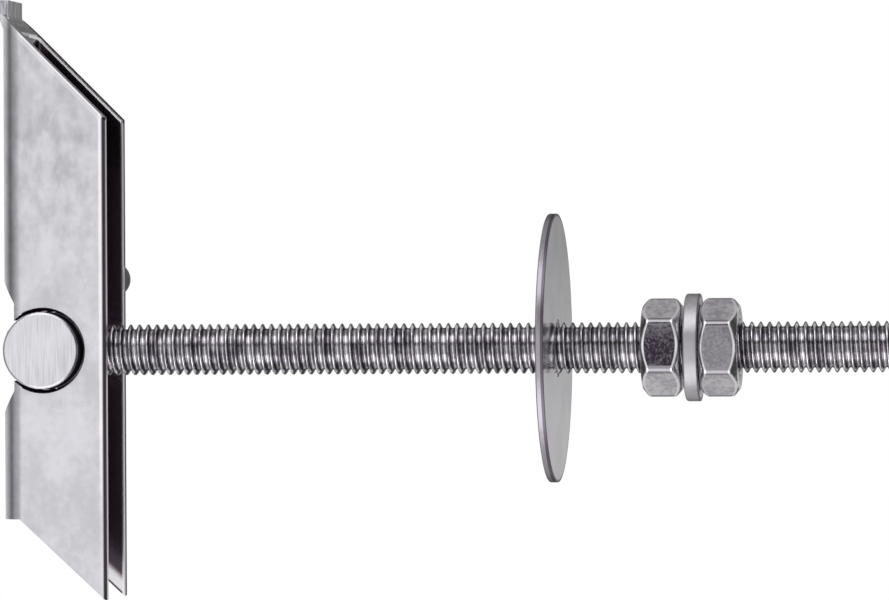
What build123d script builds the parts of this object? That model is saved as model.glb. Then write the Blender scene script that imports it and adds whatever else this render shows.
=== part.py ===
from build123d import *
import os
from math import cos, hypot, radians, sqrt, tan

# Gravity-toggle ceiling anchor, M6: a folded steel bar tilts on a cross nut at the head of a
# threaded rod and lies across a hole in the ceiling, while a wide washer and nuts close it from below.
# Frame: Z up along the hanging rod, X along the toggle bar with the long arm at +X, origin where the
# rod's axis crosses the plane of the bar's two bearing edges. Millimetres.

# Thread, modelled by its outside diameter
thread_d = 6.0
thread_play = 0.03          # gap between the rod and a tapped bore, on the radius

# Folded bar: an upside-down U of sheet, cut on a slant at both ends
sheet_t = 2.0
bar_width = 14.0
bar_height = 11.7
fold_r = 0.4                # inside radius of the two folds
edge_roll_r = 0.3           # rolled-over outer corner of the sheared bearing edges
seat_to_pivot = 7.0         # bearing edges up to the pivot axis
long_arm = 39.3             # pivot to the tip of the long arm
long_slant = 45.0           # degrees from the bearing edge
short_arm = 18.85           # pivot to the end of the short arm's back
short_depth = 2.0           # back's outer face down to the top of the short slant
short_slant = 47.0          # degrees from the bearing edge

# Lip at the tip of the long arm: the back between the folds, pressed thin and turned up
lip_width = 8.3
lip_length = 1.6            # beyond the top of the long slant
lip_t = 1.0
lip_rise = 0.57             # its outer face above the back's
lip_bend = 2.6              # length of the turned-up run
lip_root_r = 0.8            # round between the slant and the lip's underside

# Rounded nib left by the blanking on the rear bearing edge
nib_x = 7.95
nib_length = 2.8
nib_proud = 0.6
nib_t = 1.0                 # from the sheet's rolled corner inwards

# Cross nut, the pivot pin with a tapped hole across it
pin_d = 8.55
pin_play = 0.4              # gap between the pin and the pivot holes, on the radius
pin_proud = 1.5             # beyond each flange
pin_break = 0.2             # chamfer on its ends

# Threaded rod
rod_length = 100.0
rod_back = 5.2              # stands out above the pivot axis
rod_tail = 17.3             # free thread under the lower nut
rod_chamfer = 0.6

# Slot across the back and both folds, where the rod's upper end swings
slot_play_long = 2.5        # beyond the swing, towards the long arm
slot_play_short = 1.7       # beyond the swing, towards the short arm
slot_depth = 1.45           # back's outer face down to the ledge in each flange
slot_run = 2.6              # how far each end leans in between the back and the ledge

# Washers
washer_play = 0.2           # gap between the rod and a washer's hole, on the radius
ceiling_washer_d = 30.0
ceiling_washer_t = 0.9
ceiling_washer_round = 0.2
ceiling_washer_lift = 9.6   # above the upper nut
plain_washer_d = 12.0
plain_washer_t = 1.6
plain_washer_round = 0.35

# Hexagon nuts
nut_flats = 9.7
nut_height = 4.4
nut_corner_r = 0.8
nut_end_break = 0.2         # radial step from a flat to the flat circle on the nut's end
nut_chamfer_angle = 40.0    # of the chamfer from the nut's end
nut_sink = 0.35             # width of the countersink round the bore
nut_gap = 0.4               # between the upper nut and the plain washer
upper_nut_turn = 3.5        # degrees that the upper nut stands turned from the lower one

# Sizes and heights that follow
rod_r = thread_d / 2
bore_r = rod_r + thread_play
bend_r = fold_r + sheet_t
under_back = bar_height - sheet_t
slant_top_x = long_arm - lip_length
pivot_z = seat_to_pivot
rod_bottom_z = pivot_z + rod_back - rod_length
lower_nut_z = rod_bottom_z + rod_tail
plain_washer_z = lower_nut_z + nut_height
upper_nut_z = plain_washer_z + plain_washer_t + nut_gap
ceiling_washer_z = upper_nut_z + nut_height + ceiling_washer_lift


def side_face(*points):
    return Plane.XZ * make_face(Polyline(*points, close=True))


def through_bar(outline):
    return extrude(outline, amount=bar_width, both=True)


def arch(width, height, top_r):
    # Rectangle standing on the drawing's X axis, its two top corners rounded
    block = Rectangle(width, height, align=(Align.CENTER, Align.MIN))
    return fillet(block.vertices().group_by(Axis.Y)[-1], top_r)


def folded_sheet():
    # The bar's cross-section in YZ, run along X past both ends
    section = arch(bar_width, bar_height, bend_r) - arch(bar_width - 2 * sheet_t, under_back, fold_r)
    feet = section.vertices().group_by(Axis.Y)[0].sort_by(Axis.X)
    section = fillet([feet[0], feet[-1]], edge_roll_r)
    return extrude(Plane.YZ * section, amount=2 * long_arm, both=True)


def slant_x(z):
    # Where the long end's slanted cut stands at a height
    return slant_top_x - (bar_height - z) / tan(radians(long_slant))


def side_outline():
    # The long end is slanted through flanges and back, the short end square across its back
    short_z = bar_height - short_depth
    return side_face(
        (slant_top_x, bar_height), (slant_x(0), 0),
        (-short_arm - short_z / tan(radians(short_slant)), 0),
        (-short_arm, short_z), (-short_arm, bar_height))


def turned_lip():
    # Its outer face leaves the back's and levels off again in two equal bends
    top_z = bar_height + lip_rise
    under_z = top_z - lip_t
    root_x = slant_top_x - lip_bend
    half_way = (slant_top_x - lip_bend / 2, bar_height + lip_rise / 2)
    outline = make_face([
        TangentArc((root_x, bar_height), half_way, tangent=(1, 0)),
        TangentArc((slant_top_x, top_z), half_way, tangent=(-1, 0)),
        Polyline(
            (slant_top_x, top_z), (long_arm, top_z), (long_arm, under_z), (slant_x(under_z), under_z),
            (slant_x(under_back), under_back), (root_x, under_back), (root_x, bar_height)),
    ])
    root = outline.vertices().sort_by_distance((slant_x(under_z), under_z))[0]
    return extrude(Plane.XZ * fillet(root, lip_root_r), amount=lip_width / 2, both=True)


def swing_slot():
    # Square across the flat of the back, leaning in where it runs down the folds
    head_swing = hypot(rod_back, rod_r)
    reach = sqrt(head_swing**2 - (under_back - pivot_z)**2)
    long_end = reach + slot_play_long
    short_end = -reach - slot_play_short
    ledge_z = bar_height - slot_depth
    across_back = side_face(
        (short_end, under_back), (long_end, under_back), (long_end, bar_height), (short_end, bar_height))
    down_folds = side_face(
        (short_end, bar_height), (long_end, bar_height), (long_end - slot_run, ledge_z),
        (short_end + slot_run, ledge_z))
    return extrude(across_back, amount=bar_width / 2 - bend_r, both=True) + through_bar(down_folds)


def edge_nib():
    left, right = nib_x - nib_length / 2, nib_x + nib_length / 2
    crown = ThreePointArc((left, 0), (nib_x, -nib_proud), (right, 0))
    outline = make_face([crown, Line((right, 0), (left, 0))])
    outer_face = Plane.XZ.offset(edge_roll_r - bar_width / 2)
    return extrude(outer_face * outline, amount=nib_t)


def toggle_channel():
    pivot_holes = through_bar(Plane.XZ * Pos(0, pivot_z) * Circle(pin_d / 2 + pin_play))
    bar = folded_sheet() & through_bar(side_outline())
    return bar + turned_lip() - swing_slot() - pivot_holes + edge_nib()


def pivot_nut():
    pin = extrude(Plane.XZ * Circle(pin_d / 2), amount=bar_width / 2 + pin_proud, both=True)
    pin = chamfer(pin.edges().filter_by(GeomType.CIRCLE), pin_break)
    return Pos(0, 0, pivot_z) * (pin - Cylinder(bore_r, 2 * pin_d))


def threaded_rod():
    rod = extrude(Circle(rod_r), amount=rod_length)
    rod = chamfer(rod.edges().filter_by(GeomType.CIRCLE), rod_chamfer)
    return Pos(0, 0, rod_bottom_z) * rod


def washer(outer_d, thickness, edge_round, bottom_z):
    # Stamped: the upper rim is rolled over by the punch, the lower one is sheared square
    ring = extrude(Circle(outer_d / 2) - Circle(rod_r + washer_play), amount=thickness)
    rims = ring.edges().filter_by(GeomType.CIRCLE).group_by(lambda rim: rim.radius)[-1]
    return Pos(0, 0, bottom_z) * fillet(rims.sort_by(Axis.Z)[-1], edge_round)


def hexagon_nut(bottom_z, turn=0):
    # Corners point along X and flats face along Y before the turn
    hexagon = RegularPolygon(nut_flats / 2, 6, major_radius=False)
    nut = extrude(fillet(hexagon.vertices(), nut_corner_r), amount=nut_height)
    end_r = nut_flats / 2 - nut_end_break
    corner = nut_flats / 2 / cos(radians(180 / 6))
    drop = (corner - end_r) * tan(radians(nut_chamfer_angle))
    turned = side_face(
        (0, 0), (end_r, 0), (corner, drop), (corner, nut_height - drop), (end_r, nut_height), (0, nut_height))
    nut = (nut & revolve(turned, Axis.Z)) - extrude(Circle(bore_r), amount=nut_height)
    mouths = nut.edges().filter_by(GeomType.CIRCLE).group_by(lambda rim: rim.radius)[0]
    return Pos(0, 0, bottom_z) * Rot(0, 0, turn) * chamfer(mouths, nut_sink)


pieces = {
    "toggle_channel": toggle_channel(),
    "pivot_nut": pivot_nut(),
    "threaded_rod": threaded_rod(),
    "ceiling_washer": washer(ceiling_washer_d, ceiling_washer_t, ceiling_washer_round, ceiling_washer_z),
    "upper_nut": hexagon_nut(upper_nut_z, upper_nut_turn),
    "plain_washer": washer(plain_washer_d, plain_washer_t, plain_washer_round, plain_washer_z),
    "lower_nut": hexagon_nut(lower_nut_z),
}

os.makedirs("parts", exist_ok=True)
for name, piece in pieces.items():
    export_step(piece, f"parts/{name}.step")
    print(name, round(piece.volume, 2))
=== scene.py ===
import bpy
import bmesh
from math import atan, cos, hypot, pi, radians, sin, sqrt, tan
from mathutils import Matrix, Vector


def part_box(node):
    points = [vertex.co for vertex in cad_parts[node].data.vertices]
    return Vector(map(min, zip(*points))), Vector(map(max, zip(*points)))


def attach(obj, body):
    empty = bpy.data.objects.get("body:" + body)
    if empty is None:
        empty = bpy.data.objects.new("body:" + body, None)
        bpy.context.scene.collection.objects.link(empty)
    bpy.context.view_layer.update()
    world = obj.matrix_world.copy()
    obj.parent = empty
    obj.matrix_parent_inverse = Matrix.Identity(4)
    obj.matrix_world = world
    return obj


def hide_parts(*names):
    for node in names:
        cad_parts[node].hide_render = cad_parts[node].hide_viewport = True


# Gravity-toggle ceiling anchor: bright zinc on folded sheet, turned pin, rolled thread, washers and nuts.
# Everything is in metres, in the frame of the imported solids: Z up along the rod, X along the toggle bar.

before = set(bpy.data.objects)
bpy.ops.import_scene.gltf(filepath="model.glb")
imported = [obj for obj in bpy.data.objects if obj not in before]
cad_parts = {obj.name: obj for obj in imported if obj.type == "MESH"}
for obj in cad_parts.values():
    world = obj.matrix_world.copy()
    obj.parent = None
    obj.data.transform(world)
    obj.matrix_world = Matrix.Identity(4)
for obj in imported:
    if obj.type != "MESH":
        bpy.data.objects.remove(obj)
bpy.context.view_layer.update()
scene = bpy.context.scene
scene.view_settings.view_transform = "Standard"
mm = 0.001
weld = 1e-6    # corners closer than this become one
print("frame loaded:", ", ".join(sorted(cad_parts)))


class Wire:
    # An output socket of a node tree. Arithmetic on it adds Math nodes, node() adds any other node.
    def __init__(self, tree, socket=None):
        self.tree = tree
        self.socket = socket

    def node(self, kind, settings=None, inputs=None, output=0):
        made = self.tree.nodes.new(kind)
        for key, value in (settings or {}).items():
            if key == "stops":
                ramp = made.color_ramp.elements
                while len(ramp) < len(value):
                    ramp.new(1.0)
                for stop, (place, shade) in zip(ramp, value):
                    stop.position = place
                    stop.color = (shade, shade, shade, 1.0)
            else:
                setattr(made, key, value)
        for key, value in (inputs or {}).items():
            if isinstance(value, Wire):
                self.tree.links.new(value.socket, made.inputs[key])
            else:
                made.inputs[key].default_value = value
        return Wire(self.tree, made.outputs[output] if len(made.outputs) else None)

    def math(self, operation, *others):
        values = {0: self} | {place + 1: other for place, other in enumerate(others)}
        return self.node("ShaderNodeMath", {"operation": operation}, values)

    def flipped(self, operation, other):
        return self.node("ShaderNodeMath", {"operation": operation}, {0: other, 1: self})

    def __add__(self, other):
        return self.math("ADD", other)

    def __sub__(self, other):
        return self.math("SUBTRACT", other)

    def __mul__(self, other):
        return self.math("MULTIPLY", other)

    def __truediv__(self, other):
        return self.math("DIVIDE", other)

    def __gt__(self, other):
        return self.math("GREATER_THAN", other)

    def __lt__(self, other):
        return self.math("LESS_THAN", other)

    def __rsub__(self, other):
        return self.flipped("SUBTRACT", other)

    def __rtruediv__(self, other):
        return self.flipped("DIVIDE", other)

    __radd__ = __add__
    __rmul__ = __mul__

    def step(self, low, high, first=0.0, last=1.0):
        # Smooth ramp from first to last while the value goes from low to high
        ends = {"Value": self, "From Min": low, "From Max": high, "To Min": first, "To Max": last}
        return self.node("ShaderNodeMapRange", {"interpolation_type": "SMOOTHSTEP"}, ends)

    def band(self, rise, full, fade, gone):
        # 1 from full to fade, falling smoothly to 0 at rise and at gone
        return self.step(rise, full) * self.step(fade, gone, 1.0, 0.0)

    def blend(self, first, last):
        # Mix of two colours, with this value as the share of the last
        return self.node("ShaderNodeMix", {"data_type": "RGBA"}, {0: self, 6: first, 7: last}, 2)


# Finishes, their sizes in millimetres

def startFinish(name):
    material = bpy.data.materials.new(name)
    material.use_nodes = True
    tree = material.node_tree
    tree.nodes.clear()
    return material, Wire(tree)


def millimetres(wire):
    place = wire.node("ShaderNodeTexCoord", output="Object")
    return wire.node("ShaderNodeVectorMath", {"operation": "SCALE"}, {0: place, "Scale": 1 / mm})


def axes(wire, vector):
    split = wire.node("ShaderNodeSeparateXYZ", inputs={0: vector})
    outs = split.socket.node.outputs
    return [Wire(wire.tree, outs[side]) for side in range(3)]


def noise(wire, place, size, detail=3.0, stretch=(1, 1, 1), shift=(0, 0, 0), rough=0.55):
    # Cloudy value from 0 to 1, one cloud about size millimetres across
    scale = tuple(1 / (size * side) for side in stretch)
    moved = wire.node("ShaderNodeMapping", {}, {"Vector": place, "Location": shift, "Scale": scale})
    return wire.node("ShaderNodeTexNoise", {}, {"Vector": moved, "Scale": 1.0, "Detail": detail,
                                                "Roughness": rough})


def closeFinish(wire, colour, roughness, height, depth, metal=1.0):
    bump = wire.node("ShaderNodeBump", {}, {"Height": height, "Strength": 1.0, "Distance": depth * mm})
    shader = wire.node("ShaderNodeBsdfPrincipled", {}, {
        "Base Color": colour, "Metallic": metal, "Roughness": roughness, "Normal": bump})
    wire.node("ShaderNodeOutputMaterial", {}, {"Surface": shader})


def tone(shade, cast=0.02):
    # Zinc grey with a faint violet cast
    return (shade + cast * 0.4, shade - cast * 0.6, shade + cast, 1.0)


def coolTone(shade):
    # Zinc grey with a faint blue cast, as on the sheet and the sawn ends
    return (shade * 0.985, shade * 0.975, shade * 1.035, 1.0)


# A band gives where it rises, is full, fades and is gone
sheetZinc = {
    "light": 0.77, "dark": 0.63, "cloud": 4.0, "fine": 0.9, "streak": 0.35,
    "patch": 0.4, "patchSize": 2.4, "patchFrom": 2.0, "patchTo": 22.0,
    "lip": 0.22, "lipFrom": 37.0, "lipHalf": 4.2, "nib": 0.3, "nibTop": -0.06,
    # Dark edge colours: partly the torn zone, partly painted shade
    "sheared": 0.13, "shearedHalf": 5.85, "shearedRoughness": 0.75, "longCutShade": 0.02, "longHalf": 5.3,
    # Pale edge colour: partly burnish, partly painted highlight
    "burnishAndHighlight": 0.97, "highlightBand": (0.2, 0.3, 0.5, 0.7), "seatFade": (-22.0, -6.0), "slantShare": 0.4,
    # Painted highlight line in the hollow, and painted shade on the hole walls
    "burr": 0.95, "rearHighlightBand": (0.08, 0.12, 0.28, 0.36), "holeWallShade": 0.03,
    # Painted shade in the hollow, and painted light just inside the short end
    "inside": (0.35, 0.28, 0.34, 1.0), "insideDeepShade": (0.1, 0.075, 0.095, 1.0), "deepTo": 9.0,
    "insideEndLight": 0.85, "insideEndLightBand": (0.15, 0.3, 0.9, 1.8), "insideRoughness": 0.2,
    "roughness": 0.30, "roughnessSpread": 0.14, "relief": 0.006}


def channelFinish(name, inner, ends, hole):
    material, wire = startFinish(name)
    place = millimetres(wire)
    x, y, z = axes(wire, place)
    side = y.math("ABSOLUTE")
    cloud = noise(wire, place, sheetZinc["cloud"], 4.0, stretch=(1.6, 1, 0.8))
    fine = noise(wire, place, sheetZinc["fine"], shift=(7, 2, 5))
    streak = noise(wire, place, sheetZinc["streak"], 2.0, stretch=(9, 1, 1), shift=(3, 1, 8))
    clouded = (cloud * 0.6 + fine * 0.4).step(0.34, 0.64)
    colour = clouded.blend(coolTone(sheetZinc["dark"]), coolTone(sheetZinc["light"]))

    # Dull patches along the long arm, and drawn streaks on its lip
    patch = noise(wire, place, sheetZinc["patchSize"], 4.0, stretch=(1.6, 1, 0.8), shift=(1, 6, 3))
    patch = patch.step(0.38, 0.74) * x.step(sheetZinc["patchFrom"], sheetZinc["patchTo"], 0.1, 0.6)
    colour = patch.blend(colour, coolTone(sheetZinc["patch"]))
    drawn = x.step(sheetZinc["lipFrom"], sheetZinc["lipFrom"] + 0.5) * streak.step(0.4, 0.6, 0.8, 0.1)
    colour = drawn.blend(colour, tone(sheetZinc["lip"]))

    # Painted shade in the hollow, darker towards its slanted ends, and a painted pool of light, unmetallic,
    # just inside the short one
    fromLong, fromShort = [offset - x * across + z * up for offset, across, up in ends]
    within = (side < inner[0] + 0.02) * (z < inner[1] + 0.9) * (z > 0.1)
    endLightPatch = fromShort.band(*sheetZinc["insideEndLightBand"])
    shaded = fromLong.math("MINIMUM", fromShort - 1.0).step(0.0, sheetZinc["deepTo"])
    hollow = shaded.blend(sheetZinc["insideDeepShade"], sheetZinc["inside"])
    colour = within.blend(colour, endLightPatch.blend(hollow, tone(sheetZinc["insideEndLight"])))

    # Sheared edges: a painted highlight line beside them, and light on their cut faces, partly burnish and
    # partly painted highlight. Dark over the outer part of the sheet, partly the rough torn zone and partly
    # painted shade, and near black as painted shade on the rear long cut
    seatLine = z.band(*sheetZinc["highlightBand"]) * x.step(*sheetZinc["seatFade"], 0.2, 1.0)
    slantLine = fromLong.band(*sheetZinc["highlightBand"]) * sheetZinc["slantShare"]
    highlightLines = seatLine.math("MAXIMUM", slantLine) * (1 - within) * (0.6 + fine * 0.7)
    lip = (side < sheetZinc["lipHalf"]) * (x > sheetZinc["lipFrom"] + 0.35)
    cut = z.math("MINIMUM", fromLong).step(0.12, 0.3, 1.0, 0.0) * (1 - lip)
    colour = highlightLines.math("MAXIMUM", cut).math("MINIMUM", 1.0).blend(colour, tone(sheetZinc["burnishAndHighlight"]))
    onSlant = fromLong.step(0.12, 0.3, 1.0, 0.0)
    half = sheetZinc["shearedHalf"] - onSlant * (sheetZinc["shearedHalf"] - sheetZinc["longHalf"])
    frontSlant = (y < 0) * (fromLong < z)
    torn = cut * (side - half).step(-0.15, 0.1) * (1 - frontSlant)
    tornAndShadeTone = onSlant.blend(tone(sheetZinc["sheared"]), tone(sheetZinc["longCutShade"], 0.01))
    colour = torn.blend(colour, tornAndShadeTone)
    nib = z < sheetZinc["nibTop"]
    colour = nib.blend(colour, tone(sheetZinc["nib"]))
    torn = torn.math("MAXIMUM", nib)
    # Painted highlight: a pale unmetallic line inside the hollow beside the rear long cut
    burr = within * (y > 0) * fromLong.band(*sheetZinc["rearHighlightBand"])
    colour = burr.blend(colour, tone(sheetZinc["burr"]))

    # Painted shade: the walls of the pivot holes near black
    up = z - hole[1]
    holeWallShade = (x * x + up * up).math("SQRT") < hole[0] + 0.02
    colour = holeWallShade.blend(colour, tone(sheetZinc["holeWallShade"], 0.01))

    roughness = sheetZinc["roughness"] + (fine - 0.5) * sheetZinc["roughnessSpread"] + (1 - clouded) * 0.05
    roughness = roughness * (1 - within) + within * sheetZinc["insideRoughness"]
    roughness = roughness.math("MAXIMUM", holeWallShade.math("MAXIMUM", torn) * sheetZinc["shearedRoughness"])
    height = (cloud * 0.8 + fine * 0.5 + streak * 0.35) * (1 - within)
    metal = 1 - burr.math("MAXIMUM", endLightPatch * within)
    closeFinish(wire, colour, roughness, height, sheetZinc["relief"], metal)
    return material


pinZinc = {
    # The side colour is painted shade on the pin's side
    "light": 0.81, "dark": 0.61, "line": 0.16, "broad": 1.6, "side": 0.04, "holeFrom": 4.9, "endBreak": 0.22,
    "roughness": 0.32, "relief": 0.012}


def pinFinish(name, endAt):
    material, wire = startFinish(name)
    place = millimetres(wire)
    lines = noise(wire, place, pinZinc["line"], stretch=(26, 1, 1))
    broad = noise(wire, place, pinZinc["broad"], stretch=(3, 1, 1), shift=(4, 8, 1))
    sawn = (lines * 0.65 + broad * 0.35).step(0.32, 0.6)
    colour = sawn.blend(coolTone(pinZinc["dark"]), coolTone(pinZinc["light"]))
    # Painted shade: dark where its side stands in the holes and out of them
    fromMiddle = axes(wire, place)[1].math("ABSOLUTE")
    side = (fromMiddle < endAt - pinZinc["endBreak"]) * (fromMiddle > pinZinc["holeFrom"])
    colour = side.blend(colour, tone(pinZinc["side"], 0.01))
    roughness = pinZinc["roughness"] + (lines - 0.5) * 0.2 + side * 0.4
    closeFinish(wire, colour, roughness, lines + broad * 0.4, pinZinc["relief"])
    return material


rodZinc = {
    # The profile below paints shade on the thread's flanks
    "crest": 0.85, "grooveShade": 0.04, "grain": 0.5, "cloud": 1.1, "roughness": 0.17, "relief": 0.006,
    "profile": [(0.0, 0.72), (0.12, 0.66), (0.28, 0.24), (0.44, 0.1), (0.64, 0.12), (0.8, 0.7), (0.9, 1.0),
                (1.0, 1.0)]}


def rodFinish(name, outerRadius, depth):
    material, wire = startFinish(name)
    place = millimetres(wire)
    x, y = axes(wire, place)[:2]
    radius = (x * x + y * y).math("SQRT")
    # Light on the crests and roots, with painted shade darkest on the flanks
    level = (radius - (outerRadius - depth)) / depth
    threadShade = wire.node("ShaderNodeValToRGB", {"stops": rodZinc["profile"]}, {"Fac": level})
    grain = noise(wire, place, rodZinc["grain"])
    cloud = noise(wire, place, rodZinc["cloud"], stretch=(3, 3, 1), shift=(5, 1, 2), rough=0.7)
    bright = (threadShade * cloud.step(0.34, 0.62, 0.35, 1.25)).math("MINIMUM", 1.0)
    colour = bright.blend(tone(rodZinc["grooveShade"]), tone(rodZinc["crest"]))
    roughness = rodZinc["roughness"] + (grain - 0.5) * 0.12
    closeFinish(wire, colour, roughness, grain + cloud * 0.5, rodZinc["relief"])
    return material


def washerFinish(name, washer):
    material, wire = startFinish(name)
    place = millimetres(wire)
    cloud = noise(wire, place, washer["cloud"], stretch=(1, 1.5, 1), shift=washer["shift"])
    grain = noise(wire, place, washer["grain"], stretch=(6, 1, 1), shift=washer["shift"])
    mottled = (cloud * 0.7 + grain * 0.3).step(0.3, 0.66)
    colour = mottled.blend(tone(washer["dark"], washer["cast"]), tone(washer["light"], washer["cast"]))
    # Duller rim, torn dark over its lower part
    x, y, z = axes(wire, place)
    rim = (x * x + y * y).math("SQRT") > washer["rimRadius"]
    torn = rim * z.step(*washer["tornFade"], 1.0, 0.0)
    colour = (rim * washer["rimDull"]).math("MAXIMUM", torn * 0.95).blend(colour, tone(washer["torn"]))
    rougher = rim * (washer["rimRoughness"] - washer["roughness"])
    roughness = washer["roughness"] + (grain - 0.5) * 0.12 + rougher
    closeFinish(wire, colour, roughness, grain + cloud, washer["relief"])
    return material


nutZinc = {
    "light": 0.72, "dark": 0.44, "scale": 0.7, "cloud": 2.6, "speck": 0.32,
    # Painted dark reflection over the front, and painted shade on the corners
    "frontReflection": 0.035, "reflectionFull": -4.95, "reflectionGone": -4.3, "corner": 0.3, "cornerRadius": (5.33, 5.39),
    # Painted highlight on the edge lines, and painted shade on the chamfers
    "burnishAndHighlight": 0.9, "highlightBand": (-0.1, 0.0, 0.2, 0.35), "chamfer": 0.06,
    "roughness": 0.24, "relief": 0.016}


def nutFinish(name, nut, low, high):
    material, wire = startFinish(name)
    place = millimetres(wire)
    x, y, z = axes(wire, place)
    scale = noise(wire, place, nutZinc["scale"], 4.0, shift=nut["shift"], rough=0.65)
    cloud = noise(wire, place, nutZinc["cloud"], shift=nut["shift"])
    mottled = (scale * 0.6 + cloud * 0.4).step(0.36, 0.62)
    colour = mottled.blend(tone(nutZinc["dark"], 0.03), tone(nutZinc["light"]))

    # A painted dark reflection, violet, in blotches over the front of the nut
    speck = noise(wire, place, nutZinc["speck"], shift=nut["shift"], rough=0.7)
    blotch = scale * 0.7 + speck * 1.1 + x.step(-3.0, 3.0, 0.0, 0.2)
    front = y.step(nutZinc["reflectionFull"], nutZinc["reflectionGone"], 1.0, 0.0) * blotch * nut["reflectionShare"]
    colour = front.math("MINIMUM", 1.0).blend(colour, tone(nutZinc["frontReflection"], 0.01))

    # Painted highlight lines on the edges of the sides, painted shade on the rounded corners, and painted
    # shade on the rougher chamfers beyond them
    radius = (x * x + y * y).math("SQRT")
    endRadius = (nutMake["flats"] / 2 - nutMake["endBreak"]) / mm
    fromEnd = (high - low) / 2 - (z - (low + high) / 2).math("ABSOLUTE")
    inside = fromEnd - (radius - endRadius) * tan(radians(nutMake["chamfer"]))
    colour = radius.step(*nutZinc["cornerRadius"]).blend(colour, tone(nutZinc["corner"]))
    colour = inside.band(*nutZinc["highlightBand"]).blend(colour, tone(nutZinc["burnishAndHighlight"]))
    shadedChamfer = inside.step(-0.2, -0.1, 1.0, 0.0)
    colour = shadedChamfer.blend(colour, tone(nutZinc["chamfer"], 0.01))
    roughness = nutZinc["roughness"] + (scale - 0.5) * 0.2 + shadedChamfer * 0.3
    closeFinish(wire, colour, roughness, scale + cloud * 0.5, nutZinc["relief"])
    return material


# Pieces

def addPiece(name, mesh, node, body, material):
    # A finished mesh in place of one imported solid
    mesh.materials.clear()
    mesh.materials.append(material)
    piece = bpy.data.objects.new(name, mesh)
    scene.collection.objects.link(piece)
    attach(piece, body)
    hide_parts(node)
    print(name, "stands for", node, "with", len(mesh.polygons), "faces")


def bakedMesh(carrier):
    # The evaluated result of an object's modifiers as a plain mesh, and the carrier removed
    evaluated = carrier.evaluated_get(bpy.context.evaluated_depsgraph_get())
    mesh = bpy.data.meshes.new_from_object(evaluated)
    carrier.modifiers.clear()
    bpy.data.objects.remove(carrier)
    return mesh


edgeMake = {"level": 0.3, "segments": 3, "flatWeight": 50}


def edgedCopy(node, width, sharpest, rounds, add=lambda shell: None):
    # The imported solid's own shape. Its sharp edges are rounded, by width in millimetres, where rounds holds
    # for both of their corners.
    shell = bmesh.new()
    shell.from_mesh(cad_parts[node].data)
    bmesh.ops.remove_doubles(shell, verts=shell.verts, dist=weld)
    level = radians(edgeMake["level"])
    bmesh.ops.dissolve_limit(shell, angle_limit=level, verts=shell.verts, edges=shell.edges)
    for face in shell.faces:
        face.smooth = True
    rounding = shell.edges.layers.float.new("bevel_weight_edge")
    for edge in shell.edges:
        if edge.calc_face_angle(0.0) > radians(sharpest):
            edge.smooth = all(rounds(corner.co / mm) for corner in edge.verts)
            edge[rounding] = float(edge.smooth)
    add(shell)
    mesh = bpy.data.meshes.new(node + "_edged")
    shell.to_mesh(mesh)
    shell.free()
    carrier = bpy.data.objects.new(node + "_carrier", mesh)
    scene.collection.objects.link(carrier)
    rounded = carrier.modifiers.new("edge", "BEVEL")
    rounded.width = width * mm
    rounded.segments = edgeMake["segments"]
    rounded.limit_method = "WEIGHT"
    rounded.use_clamp_overlap = False
    flat = carrier.modifiers.new("flat", "WEIGHTED_NORMAL")
    flat.weight = edgeMake["flatWeight"]
    flat.keep_sharp = True
    return bakedMesh(carrier)


def turnedMesh(name, rings):
    # A closed ring of rings: each holds one (radius, height) for every step of the way round Z
    steps = len(rings[0])
    corners = []
    for ring in rings:
        for step, (radius, height) in enumerate(ring):
            turn = 2 * pi * step / steps
            corners.append((radius * cos(turn), radius * sin(turn), height))
    faces = []
    for at in range(len(rings)):
        after = (at + 1) % len(rings)
        for step in range(steps):
            ahead = (step + 1) % steps
            faces.append((at * steps + step, after * steps + step, after * steps + ahead, at * steps + ahead))
    mesh = bpy.data.meshes.new(name)
    mesh.from_pydata(corners, [], faces)
    mesh.shade_smooth()
    return mesh


def roundedCorner(before, corner, after, count=4):
    # Points of a smooth turn at a corner, from a point before it to a point after it
    points = []
    for step in range(count + 1):
        t = step / count
        first, middle, last = (1 - t) ** 2, 2 * t * (1 - t), t ** 2
        points.append(tuple(first * b + middle * c + last * a for b, c, a in zip(before, corner, after)))
    return points


# Toggle bar, in millimetres and degrees

toggleBar = {
    "edge": 0.16, "sharpest": 40.0, "outerHalf": 7.0, "foldFrom": 9.3, "rimNear": 0.05,
    "innerHalf": 5.0, "innerTop": 9.7, "pivotHeight": 7.0, "holeRadius": 4.675,
    "burrFrom": 142.0, "burrTo": 398.0, "burrSteps": 64, "burrProud": 0.25, "burrTurned": 0.1,
    "longEdgeEnd": 26.0, "longSlant": 45.0, "shortEdgeEnd": -27.9, "shortSlant": 47.0}


def onHoleRim(corner):
    # Outer rim of a pivot hole, below the fold
    radius = hypot(corner.x, corner.z - toggleBar["pivotHeight"])
    near = toggleBar["rimNear"]
    onRim = abs(radius - toggleBar["holeRadius"]) < near and abs(corner.y) > toggleBar["outerHalf"] - near
    return onRim and corner.z < toggleBar["foldFrom"]


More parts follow.
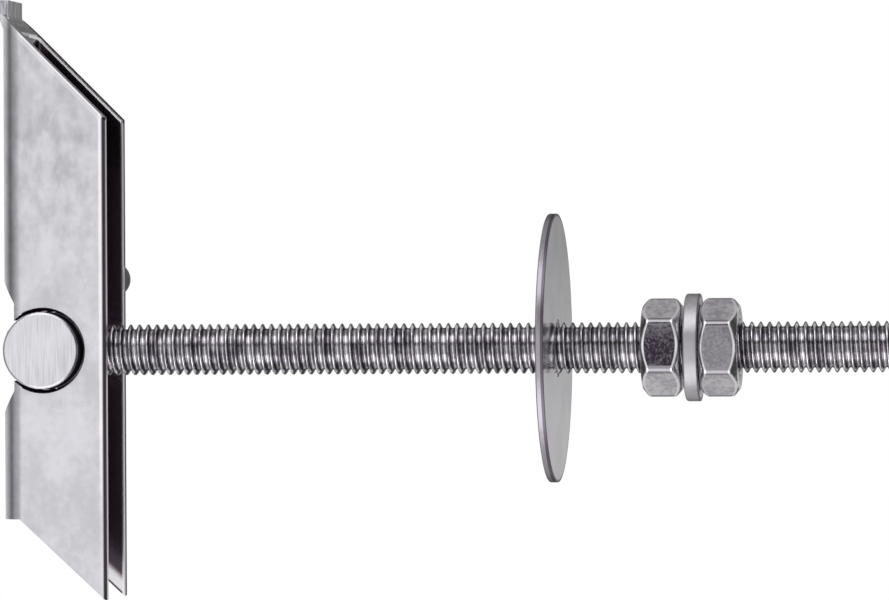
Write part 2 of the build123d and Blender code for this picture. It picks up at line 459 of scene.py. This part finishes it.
def addHoleBurrs(shell):
    # The thin burr that the punch turns in round the inner rim of each pivot hole, up to the slot
    hole, inner = toggleBar["holeRadius"], toggleBar["innerHalf"]
    turned, proud = toggleBar["burrTurned"], toggleBar["burrProud"]
    profile = [(hole + turned, inner + turned), (hole - proud, inner - turned / 4),
               (hole - proud, inner - turned), (hole + turned, inner - turned)]
    steps = toggleBar["burrSteps"]
    sweep = toggleBar["burrTo"] - toggleBar["burrFrom"]
    for side in (mm, -mm):
        sections = []
        for step in range(steps + 1):
            turn = radians(toggleBar["burrFrom"] + sweep * step / steps)
            sections.append([shell.verts.new((
                radius * cos(turn) * mm, deep * side, (toggleBar["pivotHeight"] + radius * sin(turn)) * mm))
                for radius, deep in profile])
        faces = [shell.faces.new(sections[0]), shell.faces.new(sections[-1][::-1])]
        for first, second in zip(sections, sections[1:]):
            for at in range(len(profile)):
                faces.append(shell.faces.new((first[at - 1], first[at], second[at], second[at - 1])))
        bmesh.ops.recalc_face_normals(shell, faces=faces)


def buildToggleBar():
    mesh = edgedCopy("toggle_channel", toggleBar["edge"], toggleBar["sharpest"], onHoleRim, addHoleBurrs)
    # Each slanted end as a plane: distance inside it is offset - x * across + z * up
    ends = []
    for side, end, slant in ((1, "longEdgeEnd", "longSlant"), (-1, "shortEdgeEnd", "shortSlant")):
        lean = radians(toggleBar[slant])
        ends.append((side * toggleBar[end] * sin(lean), side * sin(lean), side * cos(lean)))
    inner = (toggleBar["innerHalf"], toggleBar["innerTop"])
    hole = (toggleBar["holeRadius"], toggleBar["pivotHeight"])
    finish = channelFinish("folded sheet zinc", inner, ends, hole)
    addPiece("toggle_bar", mesh, "toggle_channel", "toggle", finish)


# Cross nut, in millimetres and degrees

crossNut = {"edge": 0.08, "sharpest": 30.0, "endFrom": 7.5}


def onPinEnd(corner):
    # The pin's two ends, not the mouths of its tapped hole
    return abs(corner.y) > crossNut["endFrom"]


def buildCrossNut():
    mesh = edgedCopy("pivot_nut", crossNut["edge"], crossNut["sharpest"], onPinEnd)
    finish = pinFinish("sawn pin zinc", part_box("pivot_nut")[1].y / mm)
    addPiece("cross_nut", mesh, "pivot_nut", "rod", finish)


# Threaded rod

rodThread = {
    "pitch": 1.0 * mm, "depth": 0.56 * mm, "under": 0.14 * mm, "chamfer": 0.6 * mm,
    "crestShare": 0.06, "rootShare": 0.14, "around": 48, "rowsPerTurn": 12, "sharpest": 50.0}


def threadTree(material):
    # Rolled right-hand thread: a grid bent round Z, its radius set by the place within the turn
    tree = bpy.data.node_groups.new("rolled thread", "GeometryNodeTree")
    sockets = tree.interface
    sockets.new_socket("Geometry", in_out="OUTPUT", socket_type="NodeSocketGeometry")
    for label in ("Bottom", "Length", "Radius", "Depth", "Pitch", "Chamfer", "Crest Share", "Root Share"):
        sockets.new_socket(label, in_out="INPUT", socket_type="NodeSocketFloat")
    for label in ("Around", "Rows Per Turn"):
        sockets.new_socket(label, in_out="INPUT", socket_type="NodeSocketInt")
    start = Wire(tree)
    given = start.node("NodeGroupInput").socket.node.outputs
    take = {socket.name: Wire(tree, socket) for socket in given if socket.name}

    rows = (take["Length"] / take["Pitch"] * take["Rows Per Turn"]).math("ROUND")
    grid = start.node("GeometryNodeMeshGrid", {}, {
        "Size X": 1.0, "Size Y": 1.0, "Vertices X": take["Around"] + 1, "Vertices Y": rows + 3})
    across, along = axes(start, start.node("GeometryNodeInputPosition"))[:2]
    counted = along * (rows + 2)
    cap = counted.math("ABSOLUTE") > rows * 0.5 + 0.5
    share = counted.math("MAXIMUM", rows * -0.5).math("MINIMUM", rows * 0.5) / rows + 0.5
    height = share * take["Length"]
    ridge = ((height / take["Pitch"] - across).math("FRACT") * 2 - 1).math("ABSOLUTE")
    flank = ridge.step(take["Root Share"], 1 - take["Crest Share"])
    radius = take["Radius"] - take["Depth"] * (1 - flank)
    fromEnd = height.math("MINIMUM", take["Length"] - height)
    radius = radius.math("MINIMUM", take["Radius"] - take["Chamfer"] + fromEnd) * (1 - cap)
    turn = across * (2 * pi)
    bent = start.node("ShaderNodeCombineXYZ", {}, {
        "X": turn.math("COSINE") * radius, "Y": turn.math("SINE") * radius, "Z": take["Bottom"] + height})
    placed = start.node("GeometryNodeSetPosition", {}, {"Geometry": grid, "Position": bent})
    closed = start.node("GeometryNodeMergeByDistance", {}, {"Geometry": placed, "Distance": weld})
    real = start.node("GeometryNodeRealizeInstances", {}, {"Geometry": closed})
    finished = start.node("GeometryNodeSetMaterial", {}, {"Geometry": real, "Material": material})
    start.node("NodeGroupOutput", {}, {"Geometry": finished})
    return tree


def buildThreadedRod():
    low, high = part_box("threaded_rod")
    radius = high.x - rodThread["under"]
    finish = rodFinish("rolled thread zinc", radius / mm, rodThread["depth"] / mm)
    carrier = bpy.data.objects.new("thread_carrier", bpy.data.meshes.new("thread_carrier"))
    scene.collection.objects.link(carrier)
    maker = carrier.modifiers.new("thread", "NODES")
    maker.node_group = threadTree(finish)
    sizes = {
        "Bottom": low.z, "Length": high.z - low.z, "Radius": radius, "Depth": rodThread["depth"],
        "Pitch": rodThread["pitch"], "Chamfer": rodThread["chamfer"],
        "Crest Share": rodThread["crestShare"], "Root Share": rodThread["rootShare"],
        "Around": rodThread["around"], "Rows Per Turn": rodThread["rowsPerTurn"]}
    for socket in maker.node_group.interface.items_tree:
        if socket.in_out == "INPUT":
            maker[socket.identifier] = sizes[socket.name]
    mesh = bakedMesh(carrier)
    mesh.shade_smooth()
    mesh.set_sharp_from_angle(angle=radians(rodThread["sharpest"]))
    addPiece("rod_thread", mesh, "threaded_rod", "rod", finish)


# Washers

washerMake = {"hole": 0.2 * mm, "burr": 0.06 * mm, "around": 160}
wideWasher = {
    "rolled": 0.2 * mm, "light": 0.6, "dark": 0.44, "cast": 0.03, "cloud": 4.0, "grain": 0.3,
    "shift": (2, 5, 1), "roughness": 0.07, "relief": 0.005,
    "rimRadius": 14.7, "rimRoughness": 0.36, "rimDull": 0.4, "torn": 0.12, "tornFade": (-49.81, -49.69)}
smallWasher = {
    "rolled": 0.35 * mm, "light": 0.54, "dark": 0.40, "cast": 0.02, "cloud": 4.0, "grain": 0.3,
    "shift": (8, 1, 4), "roughness": 0.24, "relief": 0.01,
    "rimRadius": 5.6, "rimRoughness": 0.42, "rimDull": 0.0, "torn": 0.2, "tornFade": (-66.06, -65.94)}


def washerRings(outer, inner, bottom, top, rolled):
    burr = washerMake["burr"]
    hold = burr * 2
    profile = [(inner, top - hold)]
    profile += roundedCorner((inner, top - burr), (inner, top), (inner + burr, top))
    profile += [(inner + hold, top), (outer - rolled - hold, top)]
    profile += roundedCorner((outer - rolled, top), (outer, top), (outer, top - rolled), 6)
    profile += [(outer, top - rolled - hold), (outer, bottom + hold)]
    profile += roundedCorner((outer, bottom + burr), (outer, bottom), (outer - burr, bottom))
    profile += [(outer - hold, bottom), (inner + hold, bottom)]
    profile += roundedCorner((inner + burr, bottom), (inner, bottom), (inner, bottom + burr))
    profile += [(inner, bottom + hold)]
    return [[point] * washerMake["around"] for point in profile]


def buildWasher(name, node, body, washer, finish):
    low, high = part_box(node)
    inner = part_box("threaded_rod")[1].x + washerMake["hole"]
    mesh = turnedMesh(name, washerRings(high.x, inner, low.z, high.z, washer["rolled"]))
    addPiece(name, mesh, node, body, washerFinish(finish, washer))


# Hexagon nuts

nutMake = {
    "flats": 9.7 * mm, "play": 0.03 * mm, "sink": 0.35 * mm, "corner": 0.8 * mm, "endBreak": 0.2 * mm,
    "chamfer": 40.0, "edge": 0.32 * mm, "around": 192}
# How much painted dark reflection each nut's front takes
firstNut = {"turn": 3.5, "reflectionShare": 1.02, "shift": (3, 9, 2)}
secondNut = {"turn": 0.0, "reflectionShare": 0.65, "shift": (6, 2, 7)}


def hexRadius(turn, flat, corner):
    # Distance from the axis to a rounded hexagon's side, its corners along X
    fromCorner = (turn + pi / 6) % (pi / 3) - pi / 6
    centre = (flat - corner) / cos(pi / 6)
    halfFlat = atan((flat - corner) * tan(pi / 6) / flat)
    fromFlat = pi / 6 - abs(fromCorner)
    if fromFlat <= halfFlat:
        return flat / cos(fromFlat)
    return centre * cos(fromCorner) + sqrt(corner ** 2 - (centre * sin(fromCorner)) ** 2)


def nutSection(side, flat, bore, bottom, top):
    # Half profile of the nut in one direction, with its side at that distance from the axis. The chamfer's
    # rounding is cut short where the chamfer is, so that no face folds over.
    slope = radians(nutMake["chamfer"])
    edge = nutMake["edge"]
    sink = nutMake["sink"]
    endRadius = flat - nutMake["endBreak"]
    drop = (side - endRadius) * tan(slope)
    rounded = min(edge * cos(slope), side - endRadius - edge / 3)
    upper = [(bore, top - sink), (bore + sink, top), (bore + sink + edge, top)]
    upper += roundedCorner((endRadius - edge / 2, top), (endRadius, top),
                           (endRadius + edge / 4, top - edge / 4 * tan(slope)), 2)
    upper += roundedCorner((side - rounded, top - drop + rounded * tan(slope)),
                           (side, top - drop), (side, top - drop - edge))
    upper += [(side, top - drop - 2 * edge)]
    lower = [(radius, top + bottom - height) for radius, height in reversed(upper)]
    return upper + lower


def buildNut(name, node, body, nut):
    low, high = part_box(node)
    finish = nutFinish(name + " zinc", nut, low.z / mm, high.z / mm)
    flat = nutMake["flats"] / 2
    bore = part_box("threaded_rod")[1].x + nutMake["play"]
    steps = nutMake["around"]
    turn = radians(nut["turn"])
    sides = [hexRadius(2 * pi * step / steps - turn, flat, nutMake["corner"]) for step in range(steps)]
    sections = [nutSection(side, flat, bore, low.z, high.z) for side in sides]
    rings = [list(ring) for ring in zip(*sections)]
    addPiece(name, turnedMesh(name, rings), node, body, finish)


buildToggleBar()
buildCrossNut()
buildThreadedRod()
buildWasher("wide_washer", "ceiling_washer", "ceiling_washer", wideWasher,
            "stamped washer zinc")
buildWasher("small_washer", "plain_washer", "lower_nut", smallWasher,
            "small washer zinc")
buildNut("first_nut", "upper_nut", "upper_nut", firstNut)
buildNut("second_nut", "lower_nut", "lower_nut", secondNut)


# Camera, turned so that the rod runs across the picture with the toggle bar at its left

cameraSet = {
    "place": (4.26 * mm, -738.86 * mm, -132.15 * mm), "aim": (5.42 * mm, 0.0, -37.37 * mm),
    "roll": -0.3, "focalPixels": 6662.2, "pictureWidth": 889, "sensor": 36.0}


def buildCamera():
    lens = bpy.data.cameras.new("camera")
    lens.sensor_fit = "HORIZONTAL"
    lens.sensor_width = cameraSet["sensor"]
    lens.lens = cameraSet["focalPixels"] * cameraSet["sensor"] / cameraSet["pictureWidth"]
    forward = (Vector(cameraSet["aim"]) - Vector(cameraSet["place"])).normalized()
    level = (Vector((0, 0, -1)) + forward * forward.z).normalized()
    upright = level.cross(forward)
    roll = radians(cameraSet["roll"])
    right = level * cos(roll) + upright * sin(roll)
    up = right.cross(forward)
    camera = bpy.data.objects.new("camera", lens)
    turned = Matrix((right, up, -forward)).transposed()
    camera.matrix_world = Matrix.Translation(cameraSet["place"]) @ turned.to_4x4()
    scene.collection.objects.link(camera)
    scene.camera = camera
    print("camera at", [round(side, 4) for side in camera.location])


# Studio: white surround, pale floor, soft lamps and dark cards that only the metal sees

studio = {
    "floorDrop": 0.45, "floorSize": 12.0, "floorShade": 0.9, "fill": 0.8, "lampAim": (0, 0, -0.03),
    "lamps": [
        ("front lamp", (0.0, -0.45, 0.35), (0.5, 0.3), 0.02),
        ("upper lamp", (0.41, -0.29, 0.0), (0.4, 0.5), 0.7),
        ("lower lamp", (-0.41, -0.29, 0.0), (0.4, 0.5), 0.7)]}


def buildSurround():
    world = bpy.data.worlds.new("surround")
    world.use_nodes = True
    world.node_tree.nodes.clear()
    wire = Wire(world.node_tree)
    rays = wire.node("ShaderNodeLightPath").socket.node.outputs
    seen = sum((Wire(world.node_tree, rays[ray]) for ray in ("Is Glossy Ray", "Is Transmission Ray")),
               Wire(world.node_tree, rays["Is Camera Ray"])).math("MINIMUM", 1.0)
    strength = seen * (1.0 - studio["fill"]) + studio["fill"]
    light = wire.node("ShaderNodeBackground", {}, {"Color": (1, 1, 1, 1), "Strength": strength})
    wire.node("ShaderNodeOutputWorld", {}, {"Surface": light})
    scene.world = world


def levelCorners(wide, front, back, height):
    return [(-wide, front, height), (wide, front, height), (wide, back, height), (-wide, back, height)]


def uprightCorners(left, right, place, low, high):
    return [(left, place, low), (right, place, low), (right, place, high), (left, place, high)]


def stagePlane(name, corners, material):
    mesh = bpy.data.meshes.new(name)
    mesh.from_pydata(corners, [], [(0, 1, 2, 3)])
    mesh.materials.append(material)
    plane = bpy.data.objects.new(name, mesh)
    scene.collection.objects.link(plane)
    return plane


def buildFloor():
    material, wire = startFinish("pale floor")
    below = Wire(wire.tree, wire.node("ShaderNodeNewGeometry").socket.node.outputs["Backfacing"])
    shade = studio["floorShade"]
    pale = wire.node("ShaderNodeBsdfDiffuse", {}, {"Color": (shade, shade, shade, 1)})
    clear = wire.node("ShaderNodeBsdfTransparent")
    oneSided = wire.node("ShaderNodeMixShader", {}, {0: below, 1: pale, 2: clear})
    wire.node("ShaderNodeOutputMaterial", {}, {"Surface": oneSided})
    half = studio["floorSize"] / 2
    stagePlane("floor", levelCorners(half, -half, half, -studio["floorDrop"]), material)


def buildCard(name, corners, shades, axis=1):
    # A card that only mirrored rays meet, shaded along one axis from its first corner to its third
    material, wire = startFinish(name)
    place = axes(wire, wire.node("ShaderNodeTexCoord", output="Object"))[axis]
    first, last = corners[0][axis], corners[2][axis]
    shade = wire.node("ShaderNodeValToRGB", {"stops": shades}, {"Fac": (place - first) / (last - first)})
    glow = wire.node("ShaderNodeEmission", {}, {"Color": shade})
    wire.node("ShaderNodeOutputMaterial", {}, {"Surface": glow})
    card = stagePlane(name, corners, material)
    card.visible_camera = False
    card.visible_diffuse = False
    card.visible_shadow = False


# Where the cards stand, and the shades along each from its first corner to its third
cardSet = {
    "top": 0.3, "bottom": -0.3, "wide": 0.42, "back": 0.5,
    "upperFront": -0.7, "upperBack": 0.4, "underFront": -0.4, "underBack": 0.3,
    "upperSideShade": 0.47, "lowerSideShade": 0.6,
    "flagLeft": 0.067, "flagRight": 0.173, "flagPlace": -0.2, "flagLow": -0.1, "flagHigh": 0.02,
    "flagShade": 0.05,
    "upperShades": [
        (0.0, 0.85), (0.05, 0.72), (0.18, 0.58), (0.26, 0.5), (0.39, 0.46), (0.485, 0.42), (0.53, 0.22),
        (0.56, 0.03), (0.6, 0.1), (0.64, 0.32), (0.72, 0.5), (0.79, 0.62), (1.0, 0.8)],
    "underShades": [(0.0, 0.5), (0.15, 0.2), (0.4, 0.05), (0.75, 0.04), (1.0, 0.3)],
    "backShades": [
        (0.0, 0.1), (0.36, 0.1), (0.4, 0.56), (0.48, 0.54), (0.52, 0.37), (0.62, 0.36), (0.66, 0.1),
        (1.0, 0.1)]}


def buildCards():
    top, bottom, wide, back = [cardSet[side] for side in ("top", "bottom", "wide", "back")]
    upper = levelCorners(wide, cardSet["upperFront"], cardSet["upperBack"], top)
    buildCard("upper card", upper, cardSet["upperShades"])
    under = levelCorners(wide, cardSet["underFront"], cardSet["underBack"], bottom)
    buildCard("under card", under, cardSet["underShades"])
    buildCard("back card", uprightCorners(-wide, wide, back, bottom, top), cardSet["backShades"], axis=0)
    for name, side in (("upper side card", wide), ("lower side card", -wide)):
        shade = cardSet["upperSideShade" if side > 0 else "lowerSideShade"]
        corners = [(side, 0.0, bottom), (side, back, bottom), (side, back, top), (side, 0.0, top)]
        buildCard(name, corners, [(0.0, shade), (1.0, shade)])
    flag = uprightCorners(
        cardSet["flagLeft"], cardSet["flagRight"], cardSet["flagPlace"],
        cardSet["flagLow"], cardSet["flagHigh"])
    buildCard("flag", flag, [(0.0, cardSet["flagShade"]), (1.0, cardSet["flagShade"])], axis=0)


def buildLamp(name, place, size, power):
    lamp = bpy.data.lights.new(name, "AREA")
    lamp.shape = "RECTANGLE"
    lamp.size, lamp.size_y = size
    lamp.energy = power
    holder = bpy.data.objects.new(name, lamp)
    holder.location = place
    towards = Vector(studio["lampAim"]) - Vector(place)
    holder.rotation_euler = towards.to_track_quat("-Z", "Y").to_euler()
    scene.collection.objects.link(holder)


buildCamera()
buildSurround()
buildFloor()
buildCards()
for lamp in studio["lamps"]:
    buildLamp(*lamp)
print("studio ready")
